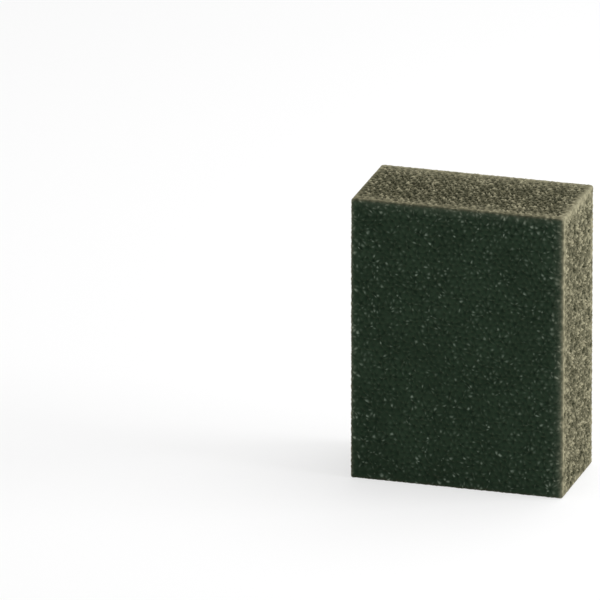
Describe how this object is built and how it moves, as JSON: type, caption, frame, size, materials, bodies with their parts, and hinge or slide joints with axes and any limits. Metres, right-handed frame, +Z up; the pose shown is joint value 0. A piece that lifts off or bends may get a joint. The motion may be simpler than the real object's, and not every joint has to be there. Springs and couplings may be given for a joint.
{
  "type": "cleaning sponge",
  "caption": "Rectangular block of dark green open-cell foam with crisp knife-cut edges, a hand-held cleaning sponge standing on its short end.",
  "frame": {"origin": "middle of the short end that the sponge stands on", "axes": "+Z up along the block's height, its longest side; +X along the width of the broad face; -Y out of the broad face that the picture shows, so Y runs through the thickness"},
  "size_m": [0.076, 0.038, 0.102],
  "materials": {
    "foam": "matte dark green open-cell foam, with pale olive cell edges that show most along the cut edges and on faces seen aslant"
  },
  "bodies": {
    "root": {"sponge": "foam"}
  },
  "joints": []
}
